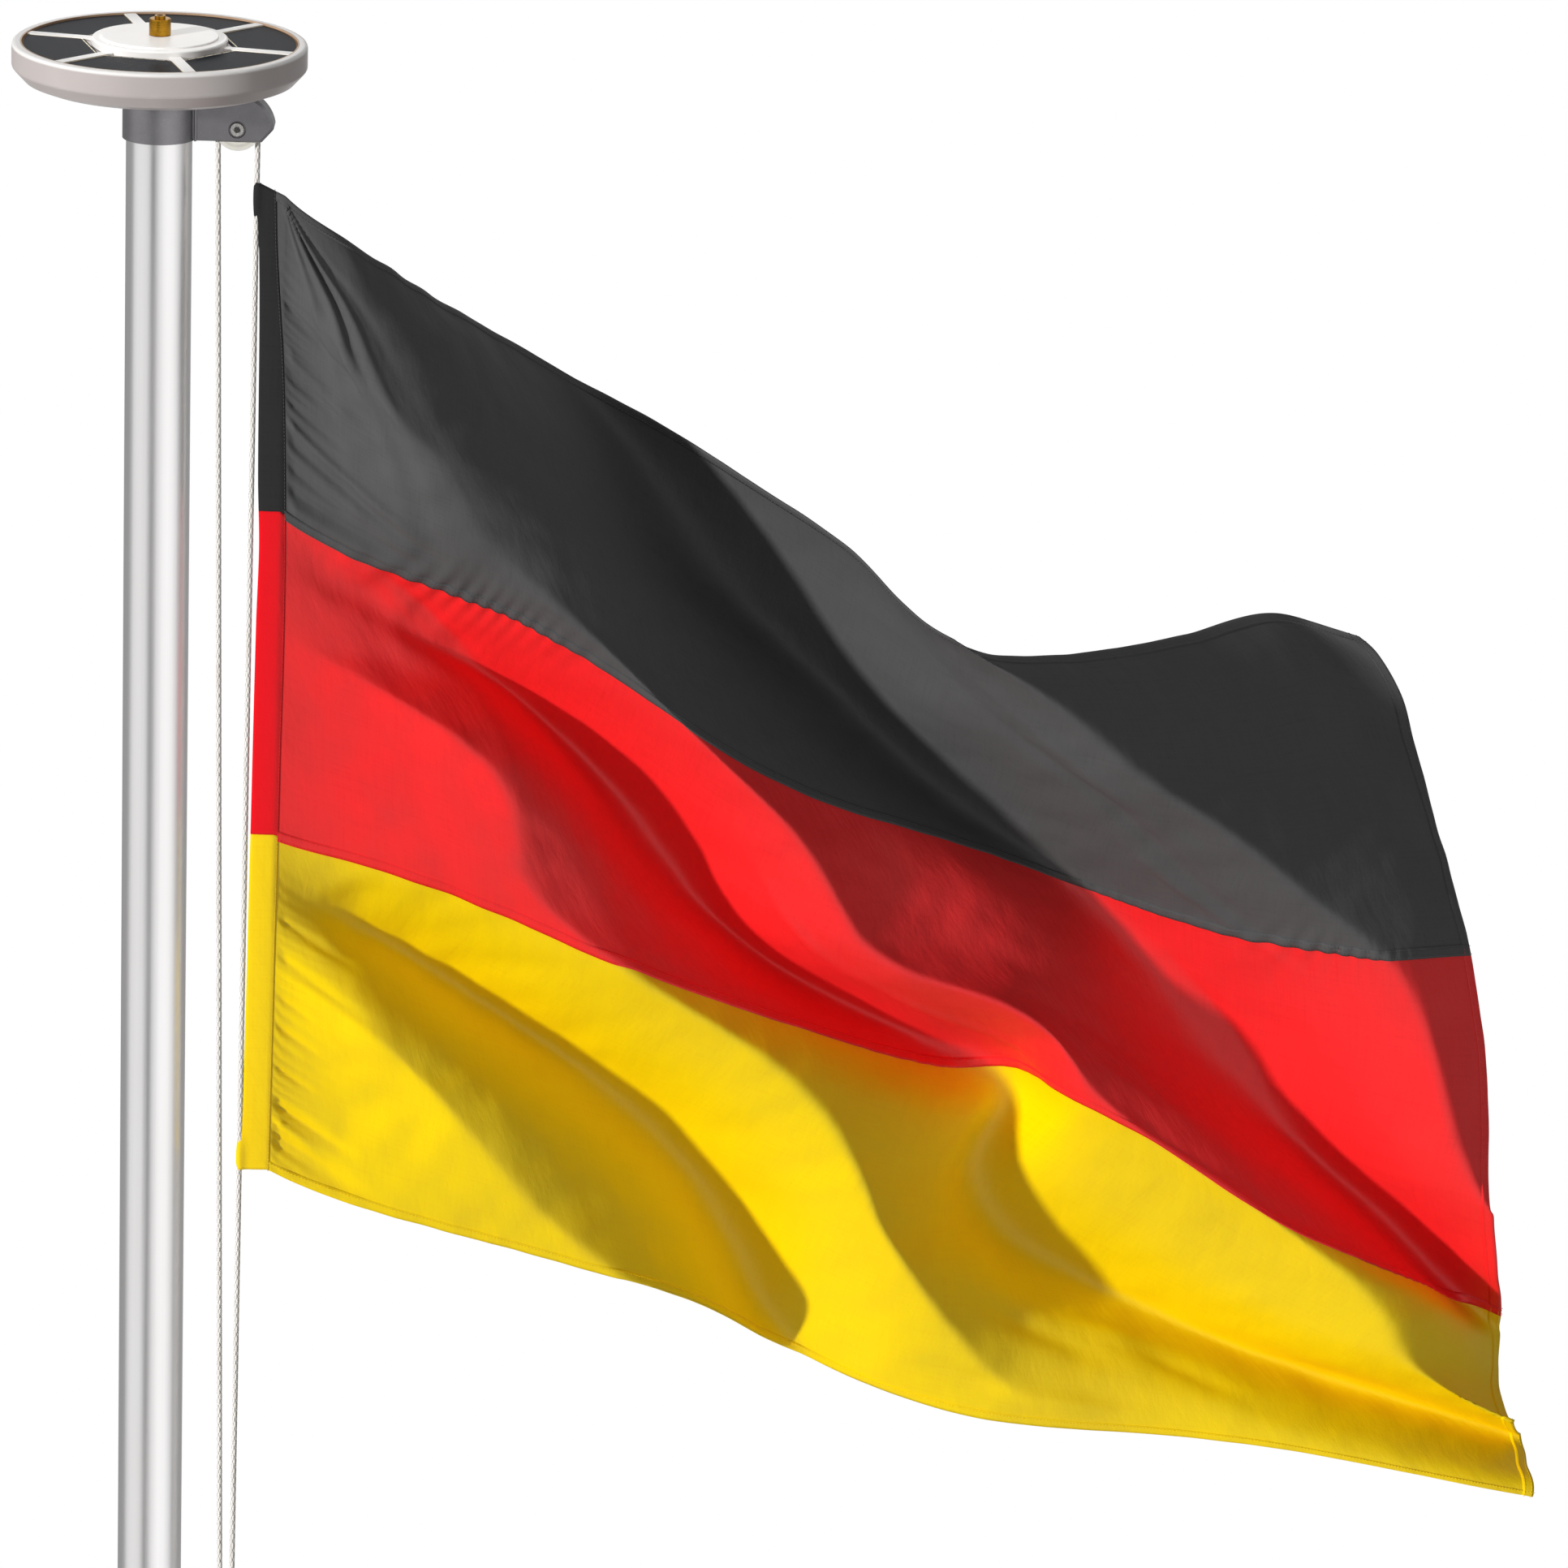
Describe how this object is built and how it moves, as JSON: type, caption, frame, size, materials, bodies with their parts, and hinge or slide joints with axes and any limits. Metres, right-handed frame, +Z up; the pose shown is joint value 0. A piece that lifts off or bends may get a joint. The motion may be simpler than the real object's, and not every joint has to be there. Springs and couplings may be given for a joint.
{
  "type": "flagpole with solar lamp and flag",
  "caption": "Tall aluminium flagpole on a bolted ground flange, with a pulley cap, round solar lamp, halyard, cleat and a waving striped flag.",
  "frame": {"origin": "centre of the ground flange's underside, on the mast's axis", "axes": "+Z up along the mast, +X towards the pulley arm and the flag, camera side at -Y"},
  "size_m": [1.4716, 0.621, 6.265],
  "materials": {
    "flange_steel": "satin",
    "screw_steel": "polished",
    "mast_aluminium": "satin",
    "cap_grey": "matte",
    "sheave_white": "matte",
    "lamp_white": "satin",
    "lamp_clear": "gloss",
    "solar_cell": "gloss",
    "brass": "satin",
    "rope_white": "matte",
    "cleat_grey": "matte",
    "cloth_black": "satin",
    "cloth_red": "satin",
    "cloth_gold": "satin"
  },
  "bodies": {
    "pole": {"base_plate": "flange_steel", "base_socket": "flange_steel", "base_gussets": "flange_steel", "socket_screws": "screw_steel", "pole_bottom_section": "mast_aluminium", "pole_lower_section": "mast_aluminium", "pole_upper_section": "mast_aluminium", "pole_top_section": "mast_aluminium", "pulley_cap": "cap_grey", "axle_screw": "screw_steel", "axle_nut": "screw_steel", "lamp_housing": "lamp_white", "lamp_diffuser": "lamp_clear", "lamp_hub_cover": "lamp_white", "brass_nut": "brass", "halyard": "rope_white", "halyard_hitch": "rope_white", "cleat": "cleat_grey", "cleat_screws": "screw_steel", "solar_panel_1": "solar_cell", "solar_panel_2": "solar_cell", "solar_panel_3": "solar_cell", "solar_panel_4": "solar_cell", "solar_panel_5": "solar_cell", "solar_panel_6": "solar_cell"},
    "pulley wheel": {"pulley_wheel": "sheave_white"},
    "flag": {"flag_black_band": "cloth_black", "flag_red_band": "cloth_red", "flag_gold_band": "cloth_gold", "hem_black": "cloth_black", "hem_red": "cloth_red", "hem_gold": "cloth_gold", "flag_loop_upper": "cloth_black", "flag_loop_lower": "cloth_gold"}
  },
  "joints": [
    {"name": "flag_hoist", "type": "slide", "parent": "pole", "child": "flag", "axis": [-0.0076, 0, -1], "range_m": [0, 3.6]},
    {"name": "sheave_spin", "type": "hinge", "parent": "pole", "child": "pulley wheel", "pos_m": [0.071, 0, 6.1645], "axis": [0, 1, 0], "continuous": true}
  ],
  "couplings": [
    {"joint": "sheave_spin", "follows": "flag_hoist", "rad_per_m": 55.556}
  ]
}
